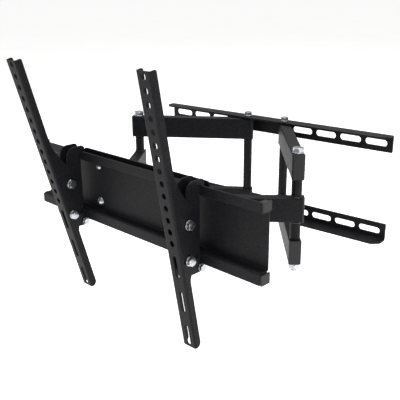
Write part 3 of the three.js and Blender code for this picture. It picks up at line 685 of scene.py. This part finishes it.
makePiece("tv_plate_sheet", tvPlateShape(), carrierPlace, "paint", "tv_plate_assembly", ["tv_plate"])
webBack = tvPlate["depth"] + tvPlate["sheet"]
ledge = tvPlate["sheet"] / 2 + gap
for level, low, high in (("upper", tvPlate["top"] - tvPlate["topLip"] + ledge, tvPlate["top"]),
                         ("lower", -tvPlate["top"], -tvPlate["top"] + tvPlate["bottomLip"] - ledge)):
    for side, across in sides:
        face = tvPlate["length"] / 2 + gap
        cover = boxShape(face, face + tvPlate["cap"], 0, webBack, low, high, 0.8, 3)
        tongue = boxShape(face - 8, face + 1, tvPlate["sheet"] + 0.6, webBack - 1, low + 1, high - 1, 0.4, 2)
        mirrored = Matrix.Diagonal((across, 1, 1, 1))
        makePiece(f"{side}_{level}_end_cover", gather((cover, Matrix()), (tongue, Matrix())),
                  carrierPlace @ mirrored, "plastic", "tv_plate_assembly", [f"{side}_{level}_plate_cap"])
print("TV plate ready")

# Hook brackets and TV rails

bracket = {"left": -150, "right": 140, "width": 23.4, "sheet": 2.5, "top": 70, "bottom": -75,
           "hookReach": 9.5, "hookDrop": 50, "pivotFront": 25, "pivotZ": 7.5, "lockDrop": 56}
tvRail = {"length": 440, "width": 28, "web": 12, "sheet": 2, "bend": 2.5, "front": 25.5, "above": 231.5,
          "earBack": 10, "holePitch": 19, "holeWidth": 8, "holeLength": 10, "holeFirst": 7.5, "holes": 14,
          "slotWidth": 7.5, "slotLength": 38, "slotFirst": 22.5, "slotPitch": 62, "slots": 3,
          "forward": 15.5, "back": 3}
safetyZ = -tvPlate["top"] - m6["shank"] / 2 - 4


def bracketShape():
    front, pivotZ, drop = -bracket["pivotFront"], bracket["pivotZ"], bracket["lockDrop"]
    lip, top = tvPlate["sheet"] + gap, tvPlate["top"]
    corners = [(-gap, -top - 2 * gap), (-gap, top + 2 * gap, 0.6), (lip, top + 2 * gap, 0.6),
               (lip, bracket["hookDrop"], 0.8), (bracket["hookReach"], bracket["hookDrop"], 3),
               (bracket["hookReach"], bracket["top"], 6), (front + 1, bracket["top"], 13),
               (front - 9, pivotZ + 12, 6), (front - 9, pivotZ - drop + 4, 6),
               (front + 2, bracket["bottom"], 6), (tvPlate["sheet"] + 5, bracket["bottom"], 3),
               (tvPlate["sheet"] + 5, -top - 2 * gap, 0.8)]
    parts = []
    for face in (1, -1):
        wall = bmesh.new()
        outlineLoop(wall, corners)
        for z in (pivotZ, pivotZ - drop):
            roundHole(wall, front, z, m8["shank"] + boltPlay)
        roundHole(wall, tvPlate["sheet"] / 2, safetyZ, m6["shank"] + boltPlay)
        fillSheet(wall, bracket["sheet"])
        parts.append((wall, move(face * (bracket["width"] - bracket["sheet"]) / 2, 0, 0) @ flatSide))
    inside = bracket["width"] / 2 - bracket["sheet"] + 0.05
    web = boxShape(-inside, inside, -gap - bracket["sheet"], -gap, -top + 4, top - tvPlate["topLip"], 0.2, 1)
    parts.append((web, Matrix()))
    return gather(*parts)


def railShape():
    rail = tvRail
    bend, back = rail["bend"], rail["earBack"]
    webFlat = back + rail["front"] - rail["sheet"] / 2 - bend
    flange = rail["width"] - rail["sheet"] - 2 * bend
    path = [("flat", webFlat), ("bend", 90, bend), ("flat", flange), ("bend", 90, bend), ("flat", webFlat)]
    wide = 2 * webFlat + flange + bend * math.pi
    top, bottom = rail["above"], rail["above"] - rail["length"]
    edge = back - (-rail["front"] + rail["web"])
    lean = math.radians(rail["forward"])
    drop = bracket["lockDrop"]

    def clear(z):
        return back - (bracket["pivotFront"] - 2 * gap + z * math.sin(lean)) / math.cos(lean)

    leanStart = -(bracket["pivotFront"] - 2 * gap - back * math.cos(lean)) / math.sin(lean)
    half = [(bottom, edge, 8), (-drop - 26, edge, 10), (-drop - 14, clear(-drop - 14) + 4, 4),
            (-drop - 9, clear(-drop - 9), 3), (leanStart, 0, 4), (18, 0, 10), (75, edge, 12), (top, edge, 3)]
    corners = half + [(z, wide - across, setback) for z, across, setback in reversed(half)]
    mesh = bmesh.new()
    outlineLoop(mesh, corners)
    middle = wide / 2
    for index in range(rail["holes"]):
        slotHole(mesh, top - rail["holeFirst"] - index * rail["holePitch"], middle, rail["holeLength"],
                 rail["holeWidth"])
    lowest = bottom + rail["slotFirst"]
    for index in range(rail["slots"]):
        slotHole(mesh, lowest + index * rail["slotPitch"], middle, rail["slotLength"], rail["slotWidth"])
    sweep = math.radians(rail["forward"] + rail["back"]) / 2 + 0.02
    centre = -math.pi / 2 - math.radians(rail["forward"] - rail["back"]) / 2
    hole = m8["shank"] + boltPlay
    for mirrored in (False, True):
        roundHole(mesh, 0, wide - back if mirrored else back, hole)
        arcHole(mesh, drop, centre, sweep, hole,
                lambda local: Vector((local.y, wide - back + local.x if mirrored else back - local.x, 0)))
    fillSheet(mesh, rail["sheet"], pathSteps(path), 0.3)
    bendSheet(mesh, path, (-rail["width"] / 2 + rail["sheet"] / 2, back), -90)
    return mesh


def crossBolt(fastener, face):
    under = face + 2 * gap + fastener["washerThickness"]
    length = under + fastener["nut"] + 2
    return gather((hexShape(fastener["flats"], fastener["head"]), move(0, 0, under)),
                  (threadShape(fastener, -length, under + 1), Matrix()),
                  (hexShape(fastener["flats"], fastener["nut"], True), move(0, 0, -under - fastener["nut"])))


def washerPair(fastener, face):
    return gather((washerShape(fastener, face + gap), Matrix()), (washerShape(fastener, face + gap), flip))


restTilt = {"left": 15, "right": 10}
for side, across in sides:
    place = carrierPlace @ move(bracket[side], 0, 0)
    body, railBody = f"{side}_bracket", f"{side}_tv_rail_body"
    makePiece(f"{side}_hook_bracket_sheet", bracketShape(), place, "paint", body, [f"{side}_hook_bracket"])
    for name, drop in (("tilt_pivot", 0), ("tilt_lock", bracket["lockDrop"])):
        spot = place @ move(0, -bracket["pivotFront"], bracket["pivotZ"] - drop) @ zToX
        makePiece(f"{side}_{name}_screw", crossBolt(m8, tvRail["width"] / 2), spot, "zinc", body,
                  [f"{side}_{name}_bolt"])
        makePiece(f"{side}_{name}_washers", washerPair(m8, tvRail["width"] / 2), spot, "zinc", body)
    spot = place @ move(0, tvPlate["sheet"] / 2, safetyZ) @ zToX
    makePiece(f"{side}_safety_screw", crossBolt(m6, bracket["width"] / 2), spot, "zinc", body,
              [f"{side}_safety_bolt"])
    makePiece(f"{side}_safety_washers", washerPair(m6, bracket["width"] / 2), spot, "zinc", body)
    pivot = place @ move(0, -bracket["pivotFront"], bracket["pivotZ"])
    pivot = pivot @ Matrix.Rotation(math.radians(restTilt[side]), 4, "X")
    makePiece(f"{side}_tv_rail_sheet", railShape(), pivot @ bentUpright, "paint", railBody,
              [f"{side}_tv_rail"])
print("brackets and TV rails ready")

# Floor, light and camera

studio = {"floorZ": -0.235, "floorSize": 60, "floor": "#f4f4f3", "floorTint": "#fbfbfa", "glow": 0.6,
          "world": "#ffffff", "worldStrength": 0.38}


def makeFloor():
    # the floor glows a little, as a lit paper sweep does
    shader = {"Roughness": 0.85, "Emission Strength": studio["glow"], "Emission Color": (1, 1, 1, 1)}
    material, tree, surface, where = startMaterial("paleFloor", shader)
    colour = ramp(tree, noise(tree, where, 300, 2.0), ((0.3, linearColour(studio["floor"])),
                                                       (0.7, linearColour(studio["floorTint"]))))
    tree.links.new(colour.outputs["Color"], surface.inputs["Base Color"])
    mesh = bmesh.new()
    bmesh.ops.create_grid(mesh, x_segments=1, y_segments=1, size=studio["floorSize"],
                          matrix=move(0, 0, studio["floorZ"]))
    data = bpy.data.meshes.new("floor")
    mesh.to_mesh(data)
    mesh.free()
    data.materials.append(material)
    floor = bpy.data.objects.new("floor", data)
    bpy.context.scene.collection.objects.link(floor)


makeFloor()
world = bpy.data.worlds.new("studio")
bpy.context.scene.world = world
world.use_nodes = True
backdrop = world.node_tree.nodes["Background"]
backdrop.inputs["Color"].default_value = linearColour(studio["world"])
backdrop.inputs["Strength"].default_value = studio["worldStrength"]

# name: place, target, size, power in watts
lamps = {
    "overhead": ((-0.2, 0.3, 1.9), (-0.1, 0.1, 0.0), 2.6, 60),
    "key": ((1.7, -0.9, 1.1), (0.0, -0.25, 0.0), 0.9, 9),
    "fill": ((-1.6, -1.5, 0.7), (0.0, -0.25, 0.0), 1.2, 5),
}
for name, (spot, target, size, power) in lamps.items():
    light = bpy.data.lights.new(name, "AREA")
    light.energy = power
    light.size = size
    lamp = bpy.data.objects.new(name, light)
    lamp.location = spot
    lamp.rotation_euler = (Vector(target) - Vector(spot)).to_track_quat("-Z", "Y").to_euler()
    bpy.context.scene.collection.objects.link(lamp)

view = {"spot": (0.6695, -1.0031, 0.3381), "turn": 40.18, "down": 18.82, "roll": 0.49, "lens": 57.77}
turn, down, roll = (math.radians(view[key]) for key in ("turn", "down", "roll"))
ahead = Vector((-math.sin(turn) * math.cos(down), math.cos(turn) * math.cos(down), -math.sin(down)))
level = Vector((math.cos(turn), math.sin(turn), 0))
below = ahead.cross(level)
rightward = math.cos(roll) * level + math.sin(roll) * below
downward = -math.sin(roll) * level + math.cos(roll) * below
cameraData = bpy.data.cameras.new("camera")
cameraData.lens = view["lens"]
cameraData.sensor_width = 36
camera = bpy.data.objects.new("camera", cameraData)
axes = Matrix((rightward, -downward, -ahead)).transposed().to_4x4()
camera.matrix_world = Matrix.Translation(view["spot"]) @ axes
bpy.context.scene.collection.objects.link(camera)
bpy.context.scene.camera = camera
bpy.context.scene.view_settings.view_transform = "Standard"
print("floor, light and camera ready")
